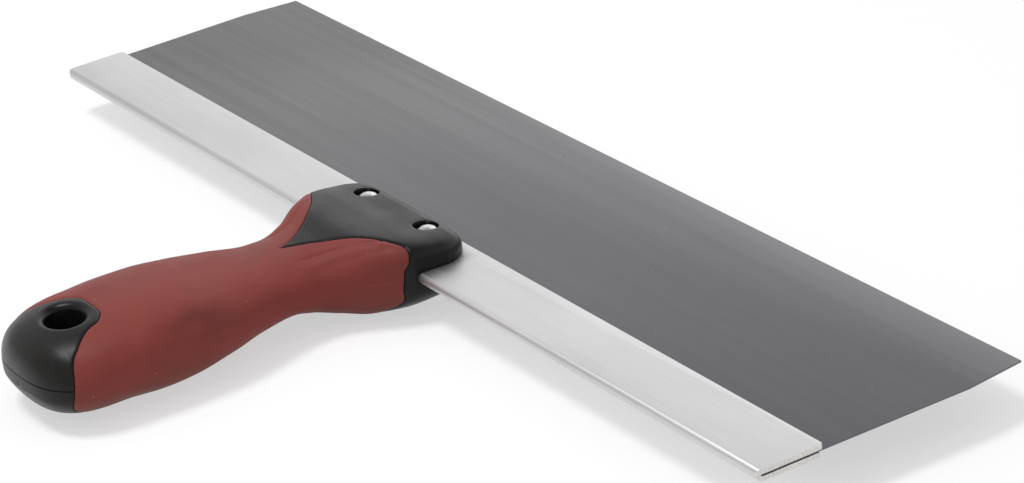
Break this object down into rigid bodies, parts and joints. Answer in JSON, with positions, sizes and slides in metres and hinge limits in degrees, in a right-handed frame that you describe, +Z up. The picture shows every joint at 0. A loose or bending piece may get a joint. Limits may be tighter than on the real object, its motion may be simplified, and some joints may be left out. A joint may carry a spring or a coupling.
{
  "type": "drywall taping knife",
  "caption": "Wide taping knife: straight spring steel blade in a folded aluminium backing strip, riveted between the jaws of a two-material handle with a hang hole",
  "frame": {"origin": "under the middle of the bounding box, at the level of the handle's underside", "axes": "X along the blade's length, Y from the butt of the handle to the working edge, Z up out of the face that carries the handle's upper jaw"},
  "size_m": [0.3556, 0.1772, 0.0246],
  "materials": {
    "blade_steel": "dark blued spring steel, faint lengthwise grain",
    "strip_aluminium": "satin mill finish",
    "black_plastic": "satin moulded",
    "red_grip": "satin soft-touch overmould",
    "rivet_steel": "bright"
  },
  "bodies": {
    "root": {"blade": "blade_steel", "backing_strip": "strip_aluminium", "handle_core": "black_plastic", "soft_grip": "red_grip", "rivet_cap_left": "rivet_steel", "rivet_cap_right": "rivet_steel", "rivet_post_left": "rivet_steel", "rivet_post_right": "rivet_steel"}
  },
  "joints": []
}
